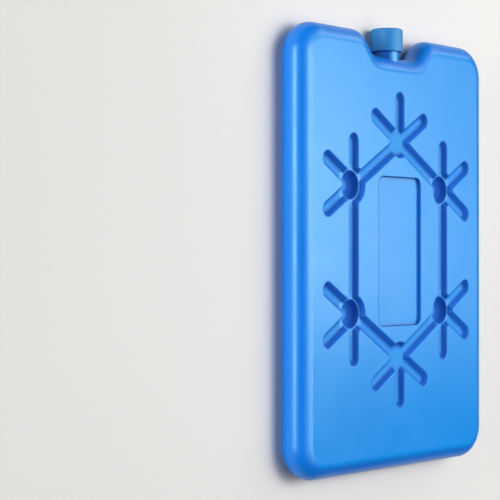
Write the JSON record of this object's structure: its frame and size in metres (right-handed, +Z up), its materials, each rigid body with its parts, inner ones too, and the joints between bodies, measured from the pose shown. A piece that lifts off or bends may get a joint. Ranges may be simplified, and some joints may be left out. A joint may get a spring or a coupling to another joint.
{
  "type": "reusable ice pack",
  "caption": "Flat hard-shell reusable ice pack with a sunk snowflake groove pattern, a plain label recess and a capped neck in a notch.",
  "frame": {"origin": "on the surface the pack lies on, midway across it and midway between its foot and the top of its cap", "axes": "+X across the pack, +Y along it towards the cap, +Z up through its thickness out of the upper patterned face"},
  "size_m": [0.124, 0.1722, 0.0128],
  "materials": {
    "shell": "smooth blow moulded polyethylene with a soft sheen",
    "closure": "smooth injection moulded polyethylene, a greyer blue"
  },
  "bodies": {
    "root": {"body": "shell", "cap": "closure"}
  },
  "joints": []
}
